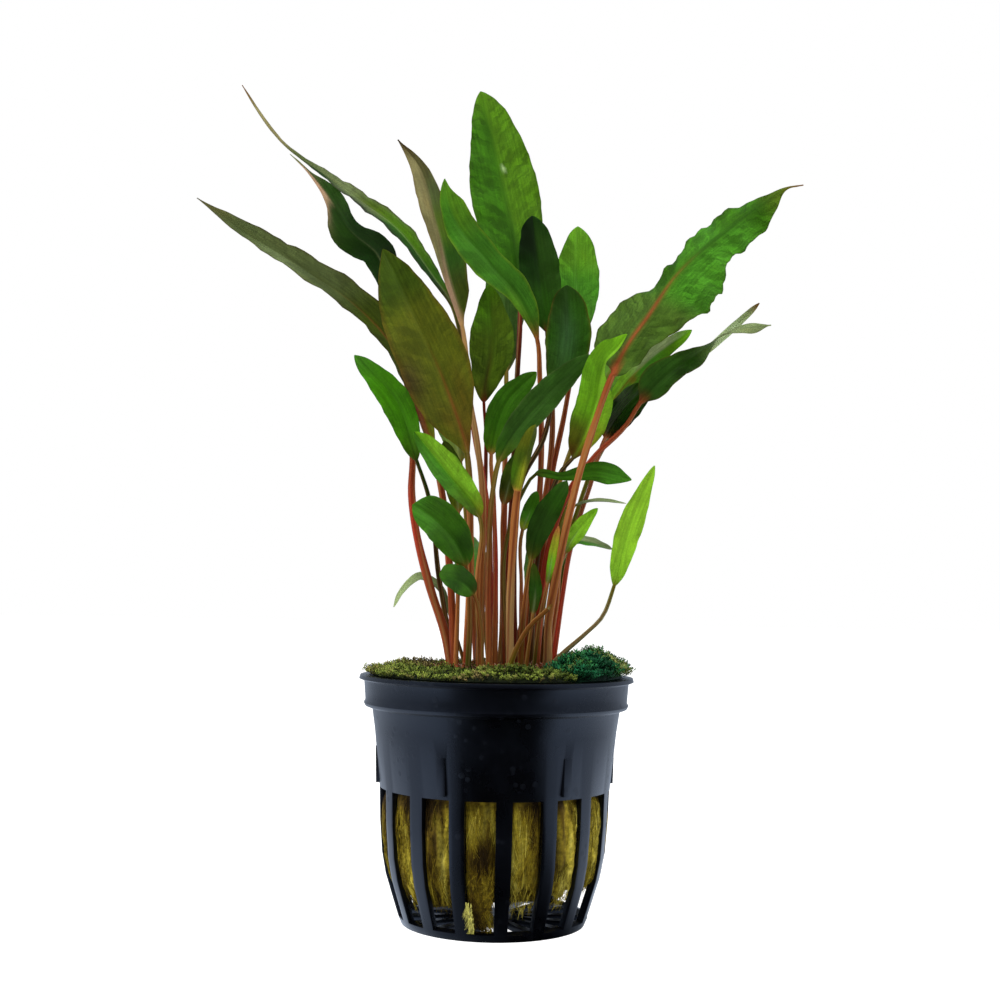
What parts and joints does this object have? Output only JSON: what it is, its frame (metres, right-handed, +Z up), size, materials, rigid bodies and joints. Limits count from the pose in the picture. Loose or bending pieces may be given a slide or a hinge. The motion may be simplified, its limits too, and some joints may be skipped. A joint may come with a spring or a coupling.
{
  "type": "potted cryptocoryne",
  "caption": "Broad-leaved aquarium plant with arching leaves on thin stalks, growing from rock wool and moss in a slotted plastic net pot.",
  "frame": {"origin": "middle of the pot's flat underside", "axes": "+Z up along the pot's axis, -Y towards the front, +X to the right seen from the front"},
  "size_m": [0.1165, 0.0614, 0.1734],
  "materials": {
    "black_plastic": "satin",
    "rock_wool": "matte",
    "root_crown": "matte",
    "olive_moss": "matte",
    "green_moss": "matte",
    "bright_leaf": "satin",
    "green_leaf": "satin",
    "dark_leaf": "satin",
    "bronze_leaf": "satin",
    "olive_leaf": "satin",
    "pale_leaf": "satin",
    "pink_leaf": "satin",
    "withered_stalk": "matte"
  },
  "bodies": {
    "root": {"net_pot": "black_plastic", "rock_wool": "rock_wool", "root_crown": "root_crown", "olive_moss": "olive_moss", "green_moss": "green_moss", "bronze_front_leaf": "bronze_leaf", "bright_lance_leaf": "bright_leaf", "oval_leaf": "green_leaf", "small_dark_oval_leaf": "dark_leaf", "beige_stalk_leaf": "bright_leaf", "small_upright_leaf": "dark_leaf", "yellow_strip_leaf": "bright_leaf", "long_left_leaf": "olive_leaf", "high_left_leaf": "green_leaf", "twisted_dark_leaf": "dark_leaf", "pointed_brown_leaf": "pink_leaf", "lower_left_leaf": "green_leaf", "thin_drooping_leaf": "olive_leaf", "small_olive_leaf": "olive_leaf", "tall_centre_leaf": "green_leaf", "leaning_leaf": "green_leaf", "dark_middle_leaf": "dark_leaf", "olive_middle_leaf": "olive_leaf", "blue_green_diagonal_leaf": "dark_leaf", "green_diagonal_leaf": "green_leaf", "blue_green_broad_leaf": "dark_leaf", "rounded_green_leaf": "green_leaf", "small_shaded_leaf": "dark_leaf", "dark_oval_leaf": "dark_leaf", "small_forked_leaf": "dark_leaf", "big_wavy_leaf": "bright_leaf", "bright_right_leaf": "bright_leaf", "low_right_leaf": "dark_leaf", "pale_tip_leaf": "pale_leaf", "yellow_green_leaf": "bright_leaf", "glossy_dark_leaf": "dark_leaf", "flat_right_leaf": "green_leaf", "arching_thin_leaf": "olive_leaf", "small_light_leaf": "bright_leaf", "striped_edge_leaf": "olive_leaf", "far_right_leaf": "bright_leaf", "back_left_leaf": "green_leaf", "back_low_left_leaf": "green_leaf", "back_low_right_leaf": "dark_leaf", "back_right_leaf": "bright_leaf", "back_tall_leaf": "dark_leaf", "withered_stalk": "withered_stalk"}
  },
  "joints": []
}
